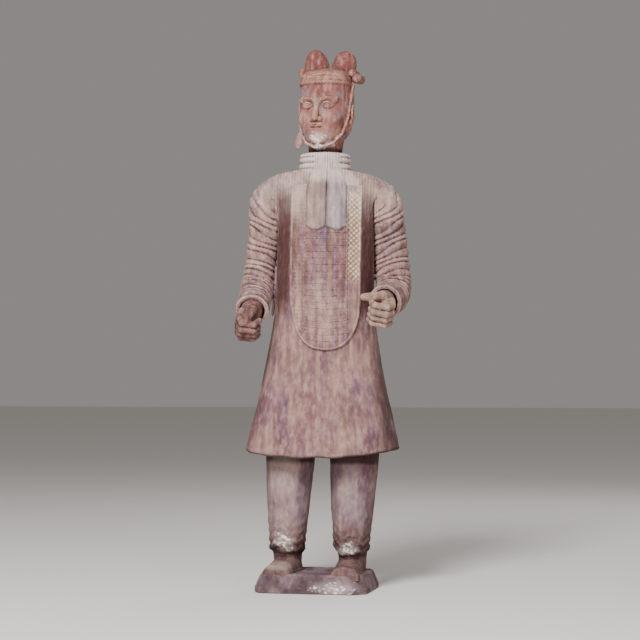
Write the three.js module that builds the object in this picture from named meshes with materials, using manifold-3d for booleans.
// A terracotta warrior about half life size: an officer in a knee-length robe, a long scaled apron of
// armour and a twin-lobed cap, standing on the low plinth that was modelled with him. The head is a
// separate firing whose neck drops into a socket inside the collar.
// Millimetres, +Z up, the figure faces -Y, origin at the middle of the plinth's underside.
import * as THREE from "three";
import { mergeVertices } from "three/addons/utils/BufferGeometryUtils.js";
import Module from "manifold-3d";

const wasm = await Module();
wasm.setup();

// ---------------------------------------------------------------- driving dimensions

const CHIN_Z = 738;
const COLLAR_TOP_Z = 723;
const COLLAR_FOOT_Z = 690;
const APRON_TOP_Z = 668;
const APRON_ARC_Z = 500; // where the apron's straight sides turn into its round end
const APRON_FOOT_Z = 396;
const HEM_Z = 222;
const PLINTH = { width: 186, depth: 146, height: 31, bevel: 8, corner: 17 };

const LEAN = THREE.MathUtils.degToRad(0.9); // the whole figure leans to its left on the plinth
const CHEST_TURN = THREE.MathUtils.degToRad(9); // the chest is turned to its left against the feet
const HEAD_TURN = THREE.MathUtils.degToRad(-8); // and the head is turned to its right
const OFF_CENTRE = -1; // the figure stands a little to its right of the plinth's middle
const TURN_FROM_Z = 230;
const TURN_TO_Z = 430;
const LIFT_GAP = 0.4; // between the neck and its socket

const BODY_CLAY = new THREE.MeshStandardMaterial({
  color: 0xa58a84,
  roughness: 0.86,
  metalness: 0,
});
const HEAD_CLAY = new THREE.MeshStandardMaterial({
  color: 0xa0776c,
  roughness: 0.84,
  metalness: 0,
});

// ---------------------------------------------------------------- tools

// A closed solid from a three.js geometry, and a geometry back from a solid.
function solidOf(geometry) {
  const bare = new THREE.BufferGeometry();
  bare.setAttribute("position", geometry.getAttribute("position").clone());
  if (geometry.index) bare.setIndex(geometry.index.clone());
  const merged = mergeVertices(bare, 1e-3);
  const mesh = new wasm.Mesh({
    numProp: 3,
    vertProperties: new Float32Array(merged.getAttribute("position").array),
    triVerts: new Uint32Array(merged.index.array),
  });
  return new wasm.Manifold(mesh);
}

function geometryOf(solid) {
  const { numProp, numVert, vertProperties, triVerts } = solid.getMesh();
  const position = new Float32Array(numVert * 3);
  for (let i = 0; i < numVert; i++) {
    position.set(vertProperties.subarray(i * numProp, i * numProp + 3), i * 3);
  }
  const geometry = new THREE.BufferGeometry();
  geometry.setAttribute("position", new THREE.BufferAttribute(position, 3));
  geometry.setIndex(new THREE.BufferAttribute(new Uint32Array(triVerts), 1));
  return geometry;
}

const fuse = (geometries) =>
  geometries.map(solidOf).reduce((whole, piece) => whole.add(piece));

// Rows of numbers joined by a smooth curve, with `steps` new rows in each span.
function smoothRows(rows, steps) {
  const out = [];
  for (let i = 0; i < rows.length - 1; i++) {
    const [a, b, c, d] = [i - 1, i, i + 1, i + 2].map(
      (k) => rows[THREE.MathUtils.clamp(k, 0, rows.length - 1)],
    );
    for (let s = 0; s < steps; s++) {
      const t = s / steps;
      out.push(b.map((_, k) => spline(a[k], b[k], c[k], d[k], t)));
    }
  }
  out.push(rows.at(-1).slice());
  return out;
}

function spline(a, b, c, d, t) {
  const start = (c - a) / 2;
  const end = (d - b) / 2;
  const bend = 3 * (c - b) - 2 * start - end;
  const twist = 2 * (b - c) + start + end;
  return b + t * (start + t * (bend + t * twist));
}

// The row of a smoothed table at a given height, which is its first column.
function rowAt(rows, z) {
  const rising = rows.at(-1)[0] > rows[0][0];
  const table = rising ? rows : rows.slice().reverse();
  if (z <= table[0][0]) return table[0];
  for (let i = 1; i < table.length; i++) {
    if (z > table[i][0]) continue;
    const t = (z - table[i - 1][0]) / (table[i][0] - table[i - 1][0]);
    return table[i].map((v, k) => table[i - 1][k] + t * (v - table[i - 1][k]));
  }
  return table.at(-1);
}

// A closed skin over rings of equal count that run anticlockwise seen from the last ring's side.
function skin(rings) {
  const count = rings[0].length;
  const points = rings.flat();
  const middle = (ring) =>
    ring.reduce((sum, p) => sum.add(p), new THREE.Vector3()).divideScalar(count);
  const faces = [];
  for (let r = 0; r < rings.length - 1; r++) {
    for (let i = 0; i < count; i++) {
      const a = r * count + i;
      const b = r * count + ((i + 1) % count);
      faces.push(a, b, b + count, a, b + count, a + count);
    }
  }
  const foot = points.push(middle(rings[0])) - 1;
  const head = points.push(middle(rings.at(-1))) - 1;
  const last = (rings.length - 1) * count;
  for (let i = 0; i < count; i++) {
    const j = (i + 1) % count;
    faces.push(foot, j, i, head, last + i, last + j);
  }
  return new THREE.BufferGeometry().setFromPoints(points).setIndex(faces);
}

// A level ring: a squared-off ellipse, with an optional swell in millimetres for each angle.
// Angle 0 points to +X, and -90 degrees is the figure's front.
function levelRing(z, wide, deep, y = 0, sides = 32, square = 2, swell = () => 0) {
  return Array.from({ length: sides }, (_, i) => {
    const angle = (i / sides) * 2 * Math.PI;
    const [c, s] = [Math.cos(angle), Math.sin(angle)];
    const bulge = swell(angle, z);
    const reach = (v) => Math.sign(v) * Math.abs(v) ** (2 / square);
    return new THREE.Vector3((wide + bulge) * reach(c), y + (deep + bulge) * reach(s), z);
  });
}

// A tube through rows of [x, y, z, radius], its sections square to the path. `flat` squashes them
// along `side`, and `tilt` slides each section's points along the path in that direction.
function tube(rows, sides, { side = new THREE.Vector3(1, 0, 0), flat = 1, tilt = () => 0 } = {}) {
  const at = rows.map(([x, y, z]) => new THREE.Vector3(x, y, z));
  return skin(
    rows.map(([, , , radius], i) => {
      const along = at[Math.min(i + 1, at.length - 1)]
        .clone()
        .sub(at[Math.max(i - 1, 0)])
        .normalize();
      const across = side.clone().addScaledVector(along, -side.dot(along)).normalize();
      const up = along.clone().cross(across);
      return Array.from({ length: sides }, (_, k) => {
        const angle = (k / sides) * 2 * Math.PI;
        return at[i]
          .clone()
          .addScaledVector(across, Math.cos(angle) * radius * flat)
          .addScaledVector(up, Math.sin(angle) * radius)
          .addScaledVector(along, Math.cos(angle) * radius * tilt(i));
      });
    }),
  );
}

// An ellipsoid of half sizes `half` about `centre`.
function pebble(half, centre, across = 10, down = 7, turn = new THREE.Euler()) {
  return new THREE.SphereGeometry(1, across, down)
    .scale(...half)
    .applyMatrix4(new THREE.Matrix4().makeRotationFromEuler(turn))
    .translate(...centre);
}

const mirrored = (geometry) => {
  const other = geometry.clone().scale(-1, 1, 1);
  const order = Array.from(other.index.array);
  for (let i = 0; i < order.length; i += 3) {
    [order[i], order[i + 1]] = [order[i + 1], order[i]];
  }
  return other.setIndex(order);
};

// ---------------------------------------------------------------- robe, from hem to shoulders

// [z, half width, half depth, middle y, middle x]
const ROBE = smoothRows(
  [
    [HEM_Z + 8, 128.5, 92, 0, 4.5],
    [259, 122, 88, 0, 5],
    [300, 112, 82, 0, 6],
    [350, 101, 75, -1, 6],
    [408, 90.5, 69.5, -3, 6.5],
    [440, 85.5, 68, -4, 6.5],
    [470, 82.5, 67, -5, 6.5],
    [540, 82, 63, -3, 7],
    [600, 84, 60.5, 0, 7],
    [635, 93, 58, 2, 5],
    [655, 99, 55, 2.5, 3],
    [670, 97, 53, 3, 3],
    [680, 92, 50.5, 2.5, 3],
    [686, 85, 48, 2, 3],
    [690, 74, 46, 1, 3],
    [693, 60, 43, -0.5, 3],
    [695, 48, 39, -1, 3],
    [697, 36, 35, -2, 3],
  ],
  1,
);
const ROBE_SQUARE = 2.25;
const HEM_FOLDS = 9;
const HEM_FOLD_DEPTH = 2.4;
const HEM_LIP = 9;
const HEM_RECESS = 22;

// Shallow upright folds that die out towards the waist.
function robeFold(angle, z) {
  const fade = 1 - THREE.MathUtils.smoothstep(z, HEM_Z, APRON_FOOT_Z);
  return HEM_FOLD_DEPTH * fade * Math.sin(HEM_FOLDS * angle + 0.8 * Math.sin(angle));
}

function robe() {
  const sides = 30;
  const ring = ([z, wide, deep, y, x]) => {
    const shift = new THREE.Vector3(x, 0, 0);
    return levelRing(z, wide, deep, y, sides, ROBE_SQUARE, robeFold).map((p) => p.add(shift));
  };
  const [, wide, deep, y, x] = ROBE[0];
  const inner = (z, step) => ring([z, wide - step, deep - step, y, x]);
  return skin([
    inner(HEM_Z + HEM_RECESS, HEM_LIP + 7),
    inner(HEM_Z + 2, HEM_LIP),
    inner(HEM_Z, HEM_LIP / 2),
    inner(HEM_Z + 3, 1),
    ...ROBE.map(ring),
  ]);
}

// How far forward the robe's front lies at a place across it.
function robeFrontY(x, z) {
  const [, wide, deep, y, middle] = rowAt(ROBE, z);
  const share = Math.min(Math.abs(x - middle) / wide, 0.995);
  return y - deep * (1 - share ** ROBE_SQUARE) ** (1 / ROBE_SQUARE);
}

// ---------------------------------------------------------------- scaled apron and neckcloth tails

const APRON_HALF = 58.5;
const APRON_BAND = 35; // inner edge of the border band on each side
const APRON_SQUARE = 2.5; // how square the round end is
const APRON_LIFT = 4.2;
const RIM_WIDTH = 3; // the apron's raised edge
const SCALE_ROWS = 14; // of which the last few follow the round end
const SCALE_STEP = 1.4; // how far each row of scales stands over the next
const GROOVE = 1.5;
const ARC_SHARE = 0.64; // share of the rows above the round end
const PLATE_SINK = 9; // how deep a plate's hidden back lies inside the body

// How far to its left the middle line of the chest runs at each height.
const midlineX = (z) => 9 + 2.5 * (1 - THREE.MathUtils.smoothstep(z, 400, 520));

// A plate draped on the robe's front: `columns` are places across it, `rows` go from 0 at the top to
// 1 at the foot, `edge(x, v)` gives the height there, and `rise(i, j)` how far it stands out.
function drapedPlate(columns, rows, edge, rise) {
  const face = (x, v, lift) => {
    const z = edge(x, v);
    const middle = midlineX(z);
    const front = robeFrontY(x + middle, z);
    return new THREE.Vector3(x * (1 + lift / 90) + middle, front - lift, z);
  };
  const [first, last] = [columns[0] * 0.97, columns.at(-1) * 0.97];
  const backs = [0, 0.3, 0.5, 0.7, 1];
  const rings = rows.map((v, j) => [
    ...columns.map((x, i) => face(x, v, rise(i, j))),
    ...backs.map((share) => face(THREE.MathUtils.lerp(last, first, share), v, -PLATE_SINK)),
  ]);
  return skin(rings.toReversed());
}

function apronFootZ(x) {
  const share = Math.min(Math.abs(x) / APRON_HALF, 0.985);
  const drop = (1 - share ** APRON_SQUARE) ** (1 / APRON_SQUARE);
  return APRON_ARC_Z - (APRON_ARC_Z - APRON_FOOT_Z) * drop;
}

function apron() {
  const rim = [APRON_HALF, APRON_HALF - RIM_WIDTH, APRON_HALF - 2 * RIM_WIDTH];
  const band = [APRON_BAND + 2, APRON_BAND, APRON_BAND - 2];
  const half = [...rim, ...band, APRON_BAND / 2, 2].map((x) => -x);
  const columns = [...half, 0, ...half.map((x) => -x).toReversed()];
  const rows = Array.from({ length: SCALE_ROWS * 2 + 1 }, (_, k) => {
    const row = Math.ceil(k / 2) / SCALE_ROWS;
    return k % 2 ? row - 0.012 : row;
  });
  const isRim = (x) => Math.abs(x) > APRON_HALF - 1.5 * RIM_WIDTH;
  const isGroove = (x) => [0, APRON_BAND / 2, APRON_BAND].includes(Math.abs(x));
  return drapedPlate(
    columns,
    rows,
    (x, v) =>
      v < ARC_SHARE
        ? THREE.MathUtils.lerp(APRON_TOP_Z, APRON_ARC_Z, v / ARC_SHARE)
        : THREE.MathUtils.mapLinear(v, ARC_SHARE, 1, APRON_ARC_Z, apronFootZ(x)),
    (i, j) => {
      if (isRim(columns[i]) || j > rows.length - 3) return APRON_LIFT + SCALE_STEP;
      const step = j % 2 ? SCALE_STEP : 0;
      return APRON_LIFT + step - (isGroove(columns[i]) ? GROOVE : 0);
    },
  );
}

const TAIL = { inner: 0.5, outer: 33.5, top: 694, foot: 592, lift: 7.6, sunk: 4.6, round: 12 };

// The neckcloth's two flat tails, which hang over the apron and end in a curve.
function neckclothTail() {
  const share = [0, 0.06, 0.3, 0.5, 0.7, 0.94, 1];
  const columns = share.map((s) => THREE.MathUtils.lerp(TAIL.inner, TAIL.outer, s));
  const middle = (TAIL.inner + TAIL.outer) / 2;
  const half = (TAIL.outer - TAIL.inner) / 2;
  const foot = (x) => {
    const off = Math.min(Math.abs(x - middle) / half, 0.97);
    return TAIL.foot + TAIL.round * (1 - Math.sqrt(1 - off * off));
  };
  const pleats = [-1.5, 0.3, -0.9, 0.5, -0.9, 0.3, -1.5];
  const rows = [0, 0.12, 0.3, 0.55, 0.78, 0.93, 1];
  const sunk = (v) => TAIL.sunk * (1 - THREE.MathUtils.smoothstep(v, 0.04, 0.32));
  return drapedPlate(
    columns,
    rows,
    (x, v) => THREE.MathUtils.lerp(TAIL.top, foot(x), v),
    (i, j) => TAIL.lift + pleats[i] - sunk(rows[j]),
  );
}

// ---------------------------------------------------------------- collar of wound neckcloth

const COLLAR_X = 3.5;
const COLLAR_Y = -5;
const COLLAR_SIDES = 28;
const SOCKET = { radius: 30, floor: 698 };
// [z, half width]: two rolls of cloth
const COLLAR_ROLLS = [
  [COLLAR_FOOT_Z - 9, 42],
  [COLLAR_FOOT_Z - 3, 44],
  [COLLAR_FOOT_Z + 1, 42.3],
  [COLLAR_FOOT_Z + 4, 43.5],
  [COLLAR_FOOT_Z + 9, 43.8],
  [COLLAR_FOOT_Z + 14, 43],
  [COLLAR_FOOT_Z + 16, 39],
  [COLLAR_FOOT_Z + 18, 41.5],
  [COLLAR_FOOT_Z + 23, 43],
  [COLLAR_TOP_Z - 4, 42],
  [COLLAR_TOP_Z - 1, 38.5],
  [COLLAR_TOP_Z, 34],
];
const FLUTE_SPAN = 0.62; // half angle of the fluted panel at the front
const FLUTE_TURN = 0.14; // how far the panel is turned to the figure's left
const FLUTE_DEPTH = 1.2;

function collar() {
  const sides = COLLAR_SIDES;
  const ring = (z, wide) => {
    const swell = (angle) => {
      const off = Math.abs(angle - 1.5 * Math.PI - FLUTE_TURN);
      if (off > FLUTE_SPAN || z > COLLAR_TOP_Z - 1) return 0;
      const side = Math.round((angle / (2 * Math.PI)) * sides);
      return 0.75 * (42 - wide) + (side % 2 ? FLUTE_DEPTH : 0);
    };
    return levelRing(z, wide, wide * 0.96, COLLAR_Y, sides, 2, swell);
  };
  const bore = (z, wide) => levelRing(z, wide, wide * 0.96, COLLAR_Y, sides);
  return skin([
    ...COLLAR_ROLLS.map(([z, wide]) => ring(z, wide)),
    bore(COLLAR_TOP_Z - 1, 32),
    bore(COLLAR_TOP_Z - 6, SOCKET.radius),
    bore(SOCKET.floor, SOCKET.radius),
  ]).translate(COLLAR_X, 0, 0);
}

// Clears the robe's shoulders out of the socket.
const socketCore = () =>
  skin([
    levelRing(SOCKET.floor, SOCKET.radius, SOCKET.radius * 0.96, COLLAR_Y, COLLAR_SIDES),
    levelRing(COLLAR_TOP_Z + 9, SOCKET.radius, SOCKET.radius * 0.96, COLLAR_Y, COLLAR_SIDES),
  ]).translate(COLLAR_X, 0, 0);

// ---------------------------------------------------------------- sleeves

const FOLD_PITCH = 13.5;
const FOLD_DEPTH = 2.1;
const SLEEVE_SIDES = 11;
const CUFF_WALL = 5;
const CUFF_RECESS = 10;
// [x, y, z, radius] from the shoulder to the cuff, for his right arm and his left
const RIGHT_ARM = [
  [-57, 1, 668, 20],
  [-79, 2, 656, 29],
  [-92, 3, 637, 31],
  [-94.5, 4, 606, 28],
  [-99, 5, 570, 25.8],
  [-102.5, 6, 535, 26.2],
  [-106, 1, 504, 27.2],
  [-108, -22, 481, 27],
  [-110, -58, 459, 26.5],
];
const LEFT_ARM = [
  [63, 1, 668, 20],
  [86, 2, 656, 29],
  [101, 3, 639, 31.5],
  [108, 5, 604, 29.5],
  [114, 7, 566, 29],
  [118, 7, 530, 29.5],
  [120, 0, 504, 29],
  [117, -24, 486, 28],
  [107, -57, 476, 27],
];
// His right sleeve's loose underside hangs inside the elbow as a thin fold
const LOOSE_FOLD = [
  [-78, 0, 534, 4],
  [-76, 0, 528, 5],
  [-76, -1, 505, 5],
  [-78, -4, 480, 4.5],
  [-81, -6, 455, 4],
  [-81.5, -6, 451, 2],
];
// How steeply the folds climb to the outside: most under the shoulder, least at the cuff
const FOLD_TILT = { top: 0.55, cuff: 0.12 };

function pathLengths(rows) {
  const at = rows.map(([x, y, z]) => new THREE.Vector3(x, y, z));
  return at.map((_, i) =>
    at.slice(0, i).reduce((sum, p, k) => sum + p.distanceTo(at[k + 1]), 0),
  );
}

// The path walked in equal steps of half a fold, so that ridge and valley take turns.
function sleeveRows(arm) {
  const fine = smoothRows(arm, 8);
  const far = pathLengths(fine);
  const table = fine.map((row, i) => [far[i], ...row]);
  const steps = Math.round(far.at(-1) / (FOLD_PITCH / 2));
  return Array.from({ length: steps + 1 }, (_, i) => {
    const [, x, y, z, radius] = rowAt(table, (far.at(-1) * i) / steps);
    return [x, y, z, radius];
  });
}

function sleeve(arm) {
  const smoothShoulder = 8; // steps without folds over the shoulder's padding
  const rows = sleeveRows(arm).map(([x, y, z, radius], i, all) => {
    const folded = i > smoothShoulder && i < all.length - 1;
    return [x, y, z, radius + (folded ? (i % 2 ? FOLD_DEPTH / 2 : -FOLD_DEPTH / 2) : 0)];
  });
  const [end, before] = [rows.at(-1), rows.at(-2)].map((r) => new THREE.Vector3(...r));
  const inward = before.clone().sub(end).normalize();
  const radius = rows.at(-1)[3];
  const step = (depth, r) => [...end.clone().addScaledVector(inward, depth), r];
  const outward = Math.sign(end.x);
  const tilt = (i) => {
    if (i <= smoothShoulder || i > rows.length - 3) return 0;
    const down = (i - smoothShoulder) / (rows.length - smoothShoulder);
    return -outward * THREE.MathUtils.lerp(FOLD_TILT.top, FOLD_TILT.cuff, Math.sqrt(down));
  };
  const shell = solidOf(tube(rows, SLEEVE_SIDES, { tilt }));
  const recess = solidOf(
    tube([step(CUFF_RECESS, radius - CUFF_WALL - 1), step(-6, radius - CUFF_WALL)], SLEEVE_SIDES),
  );
  return geometryOf(shell.subtract(recess));
}

const looseFold = () => tube(LOOSE_FOLD, 6, { flat: 0.6 });

// ---------------------------------------------------------------- hands

const FINGER = { count: 4, width: 10.4, radius: 5.8, tip: 4.8 };
const WRIST_RADIUS = 17.5;

// A closed fist about a wrist. `forward` runs from wrist to knuckles, `up` to the thumb's side and
// `inward` to the palm's side. Joints are [forward, inward] in millimetres.
function hand(wrist, forward, up, thumbJoints) {
  const f = forward.clone().normalize();
  const u = up.clone().addScaledVector(f, -up.dot(f)).normalize();
  const inward = new THREE.Vector3(wrist.x > 0 ? -1 : 1, 0, 0);
  const m = inward
    .addScaledVector(f, -inward.dot(f))
    .addScaledVector(u, -inward.dot(u))
    .normalize();
  const at = (along, across, rise) =>
    wrist
      .clone()
      .addScaledVector(f, along)
      .addScaledVector(m, across)
      .addScaledVector(u, rise);
  const joints = [
    [26, -11],
    [46, -12],
    [59, -4],
    [58, 15],
    [45, 21],
  ];
  const fingers = Array.from({ length: FINGER.count }, (_, k) => {
    const rise = ((FINGER.count - 1) / 2 - k) * FINGER.width;
    const shrink = 1 - 0.05 * Math.abs(k - 1);
    const rows = joints.map(([along, across], j) => {
      const p = at(along * shrink, across, rise);
      return [p.x, p.y, p.z, j < 3 ? FINGER.radius : FINGER.tip];
    });
    return tube(rows, 6, { side: u });
  });
  const thumb = tube(
    thumbJoints.map(([along, across, rise, r]) => [...at(along, across, rise), r]),
    6,
    { side: f },
  );
  const wristStub = tube(
    [
      [...at(-32, 0, 0), WRIST_RADIUS - 2],
      [...at(6, 0, 0), WRIST_RADIUS],
      [...at(20, 0, 0), WRIST_RADIUS - 5],
    ],
    10,
    { side: m, flat: 0.88 },
  );
  const palm = tube(
    [
      [...at(-6, 0, 0), 14],
      [...at(4, 0, 0), 17.5],
      [...at(16, -2, 0), 18.5],
      [...at(38, -3, 0), 20.5],
      [...at(54, -3, 0), 14],
    ],
    10,
    { side: m, flat: 0.62 },
  );
  return [wristStub, palm, thumb, ...fingers];
}

function rightHand() {
  const wrist = new THREE.Vector3(-111, -58, 459);
  const forward = new THREE.Vector3(-0.14, -0.78, -0.62);
  const thumb = [
    [6, 2, 10, 7.5],
    [24, 6, 21, 7],
    [42, 4, 25, 6],
    [57, 2, 20, 4.6],
  ];
  return hand(wrist, forward, new THREE.Vector3(0.12, -0.5, 0.8), thumb);
}

function leftHand() {
  const wrist = new THREE.Vector3(106, -57, 474);
  const forward = new THREE.Vector3(-0.02, -0.9, -0.4);
  const thumb = [
    [4, 0, 12, 9.5],
    [22, 6, 19, 9],
    [33, 19, 21, 8.2],
    [36, 35, 20, 6.4],
    [37, 40, 20, 3.5],
  ];
  return hand(wrist, forward, new THREE.Vector3(0.15, -0.3, 0.95), thumb);
}

// ---------------------------------------------------------------- trousers and shoes

// [z, half width, half depth, middle y, middle x]: both legs stand a little to the figure's right
const TROUSER = smoothRows(
  [
    [PLINTH.height - 6, 25, 28, 12, -4],
    [52, 26, 30, 8, -4],
    [66, 28.5, 32, 4, -4],
    [100, 31.5, 34.5, 2, -3],
    [150, 36, 37, 1, -1.5],
    [205, 39.5, 40, 0, 0],
    [252, 40, 41, 0, 0],
  ],
  1,
);
const SHOE = { length: 59, toe: 19, back: -2 };
const RIGHT_LEG = { x: -48, shoe: -50, splay: -0.12 };
const LEFT_LEG = { x: 60.5, shoe: 56, splay: 0.03 };

function trouserLeg() {
  const ring = ([z, w, d, y, x]) =>
    levelRing(z, w, d, y, 16, 2.1).map((p) => p.add(new THREE.Vector3(x, 0, 0)));
  return skin(TROUSER.map(ring));
}

// A square-toed cloth shoe: sections from heel to toe, with the toe's lip turned up.
function shoe() {
  // [how far forward of the ankle, half width, height]
  const sections = [
    [-30, 14, 20],
    [-18, 21, 30],
    [0, 23, 32],
    [22, 22.5, 27],
    [40, 23, 20],
    [53, 23, 18.5],
    [SHOE.length, 21.5, SHOE.toe - 2],
    [SHOE.length + 3, 17, 9],
  ];
  const outline = [
    [-1, 0.02],
    [-1.04, 0.3],
    [-0.86, 0.78],
    [-0.45, 1],
    [0.45, 1],
    [0.86, 0.78],
    [1.04, 0.3],
    [1, 0.02],
  ];
  const floor = PLINTH.height - 5;
  const rings = sections.map(([y, half, high]) =>
    outline.map(([a, b]) => new THREE.Vector3(a * half, -y, floor + b * (high + 5))),
  );
  return skin(rings.map((ring) => ring.toReversed()));
}

function legs() {
  return [RIGHT_LEG, LEFT_LEG].flatMap((leg) => [
    trouserLeg().translate(leg.x, 0, 0),
    shoe().rotateZ(leg.splay).translate(leg.shoe, SHOE.back, 0),
  ]);
}

// ---------------------------------------------------------------- plinth

// A low block of clay with cut corners and sloping sides.
function plinth() {
  const { width, depth, height, bevel, corner } = PLINTH;
  const [x, y] = [width / 2 - bevel, depth / 2 - bevel];
  const outline = new THREE.Shape([
    new THREE.Vector2(-x + corner * 0.6, -y),
    new THREE.Vector2(x - corner * 1.3, -y),
    new THREE.Vector2(x, -y + corner * 1.2),
    new THREE.Vector2(x, y - corner),
    new THREE.Vector2(x - corner, y),
    new THREE.Vector2(-x + corner, y),
    new THREE.Vector2(-x, y - corner),
    new THREE.Vector2(-x, -y + corner * 0.7),
  ]);
  const foot = 9; // the plain edge under the slope
  const block = new THREE.ExtrudeGeometry(outline, {
    depth: foot,
    bevelEnabled: true,
    bevelThickness: height - foot,
    bevelSize: bevel,
    bevelOffset: 0,
    bevelSegments: 2,
  });
  const under = new THREE.BoxGeometry(width * 2, depth * 2, height).translate(0, 0, -height / 2);
  const cut = solidOf(block).subtract(solidOf(under));
  return geometryOf(cut);
}

// ---------------------------------------------------------------- head

const NECK_FOOT_Z = SOCKET.floor + LIFT_GAP;
const EYE_Z = 800;
const BROW_Z = 809;
const NOSE_Z = 775.5;
const MOUTH_Z = 763;
const FACE_Y = -47;
// [z, half width, front y, back y]
const HEAD = [
  [NECK_FOOT_Z, 22, -20, 22],
  [724, 23, -22, 24],
  [CHIN_Z - 4, 27, -40, 28],
  [CHIN_Z + 3, 31, FACE_Y + 2, 32],
  [755, 37, FACE_Y, 38],
  [774, 41, FACE_Y, 46],
  [796, 43, FACE_Y + 1, 50],
  [816, 43.5, FACE_Y + 2, 52],
  [836, 43.5, FACE_Y + 5, 51],
  [852, 40, -36, 46],
  [861, 30, -20, 34],
];

// Everything on the head is modelled about the neck's axis.
function skull() {
  return skin(
    HEAD.map(([z, half, front, back]) =>
      levelRing(z, half, (back - front) / 2, (back + front) / 2, 20, 2.3),
    ),
  );
}

function face() {
  const nose = skin(
    [
      [NOSE_Z, 8.5, 10],
      [NOSE_Z + 5, 8, 10.5],
      [NOSE_Z + 12, 5, 7],
      [BROW_Z, 4, 2.5],
    ].map(([z, half, reach]) => levelRing(z, half, reach, FACE_Y + 1, 8)),
  );
  const pairs = [
    pebble([12, 5, 3.2], [18, FACE_Y + 6, BROW_Z], 8, 4, new THREE.Euler(0, 0, 0.25)),
    pebble([9.5, 5, 4.4], [18, FACE_Y + 6.5, EYE_Z - 1], 8, 5, new THREE.Euler(0, 0, 0.25)),
    pebble([9.5, 3.6, 2.2], [9, FACE_Y - 0.5, MOUTH_Z + 6.5], 8, 4, new THREE.Euler(0, 0.3, 0.2)),
    pebble([5, 9, 16], [44, 6, EYE_Z - 8], 8, 6),
  ];
  const lips = pebble([10.5, 4.5, 4.4], [0, FACE_Y + 0.5, MOUTH_Z - 0.5], 8, 5);
  const tuft = pebble([6.5, 6, 9], [0, FACE_Y + 3, CHIN_Z + 4], 8, 5);
  return [nose, lips, tuft, ...pairs, ...pairs.map(mirrored)];
}

// Hair drawn up under a flat cap, whose two tails curl up at the back as lobes.
function cap() {
  const band = skin(
    [
      [836, 42.5, 46.5, 4],
      [845, 43, 46.5, 5],
      [854, 41, 43, 7],
      [862, 34, 34, 11],
      [866, 25, 25, 15],
    ].map(([z, wide, deep, y]) => levelRing(z, wide, deep, y, 20, 2.5)),
  );
  const brow = tube(
    [
      [-42, -6, 838, 3],
      [-37, -26, 838, 3.2],
      [-21, -40, 838, 3.4],
      [0, -42.5, 838, 3.4],
      [21, -40, 838, 3.4],
      [37, -26, 838, 3.2],
      [42, -6, 838, 3],
    ],
    6,
    { side: new THREE.Vector3(0, 0, 1) },
  );
  const strap = tube(
    [
      [44.5, 10, 846, 3],
      [45.3, -4, 815, 3],
      [42.5, -10, 782, 3],
      [36, -19, 755, 3],
      [24, -29, 739, 3],
      [7, -35, 731.5, 3],
    ],
    6,
    { side: new THREE.Vector3(0, 1, 0), flat: 1.3 },
  );
  const bow = pebble([9, 5.5, 5.5], [1, -36, 731], 8, 5);
  const knob = pebble([8.5, 9, 9.5], [-44, 6, 861.5], 8, 6);
  return [band, brow, strap, mirrored(strap), bow, knob, lobe(-1), lobe(1), ...rolls()];
}

// One of the cap's two lobes, an egg leaning outwards; the one on his right stands higher.
function lobe(way) {
  const half = new THREE.Vector3(20.8, 18.5, 29 - 0.5 * way);
  const centre = new THREE.Vector3(way * 24, 19.5, 872 - 1.5 * way);
  const egg = new THREE.SphereGeometry(1, 14, 10).rotateX(Math.PI / 2);
  return egg.scale(half.x, half.y, half.z).rotateY(way * 0.2).translate(...centre);
}

// Two rolls of cloth on the cap's left side.
const rolls = () =>
  [
    [44.5, 857.5, 7.2],
    [52.5, 848.5, 8],
  ].map(([x, z, radius]) =>
    tube(
      [
        [x, -4, z, radius * 0.45],
        [x, 1, z, radius],
        [x, 23, z, radius],
        [x, 28, z, radius * 0.45],
      ],
      8,
    ),
  );

// The strap's loose end, which hangs below his right jaw.
const strapEnd = () =>
  tube(
    [
      [-33, -20, 760, 4],
      [-38, -18, 752, 6],
      [-41, -17, 743, 7],
      [-42, -17, 732, 4],
    ],
    6,
    { side: new THREE.Vector3(0, 1, 0), flat: 0.6 },
  );

function head() {
  return geometryOf(fuse([skull(), ...face(), ...cap(), strapEnd()]));
}

// ---------------------------------------------------------------- the figure's stance

// Turns each level by its share of the chest's turn, then leans the whole about the plinth's top.
function stand(geometry, extraTurn = 0) {
  const at = geometry.getAttribute("position");
  const p = new THREE.Vector3();
  const upright = new THREE.Vector3(0, 0, 1);
  const pivot = new THREE.Vector3(0, 0, PLINTH.height);
  for (let i = 0; i < at.count; i++) {
    p.fromBufferAttribute(at, i);
    p.x += OFF_CENTRE;
    const share = THREE.MathUtils.smoothstep(p.z, TURN_FROM_Z, TURN_TO_Z);
    p.applyAxisAngle(upright, CHEST_TURN * share + extraTurn);
    p.sub(pivot).applyAxisAngle(new THREE.Vector3(0, 1, 0), LEAN).add(pivot);
    at.setXYZ(i, p.x, p.y, p.z);
  }
  return geometry;
}

function figure() {
  const upright = fuse([
    robe(),
    apron(),
    neckclothTail(),
    mirrored(neckclothTail()),
    collar(),
    sleeve(RIGHT_ARM),
    sleeve(LEFT_ARM),
    looseFold(),
    ...rightHand(),
    ...leftHand(),
    ...legs(),
  ]).subtract(solidOf(socketCore()));
  return geometryOf(solidOf(stand(geometryOf(upright))).add(solidOf(plinth())));
}

// The head turns about the neck's own axis, then takes the chest's turn and the figure's lean.
function turnedHead() {
  const geometry = head()
    .rotateZ(HEAD_TURN - CHEST_TURN)
    .translate(COLLAR_X, COLLAR_Y, 0);
  return stand(geometry);
}

function part(name, geometry, material) {
  geometry.computeVertexNormals();
  const mesh = new THREE.Mesh(geometry, material);
  mesh.name = name;
  return mesh;
}

const warrior = new THREE.Group();
warrior.add(part("warrior_figure", figure(), BODY_CLAY));
warrior.add(part("warrior_head", turnedHead(), HEAD_CLAY));

export default warrior;
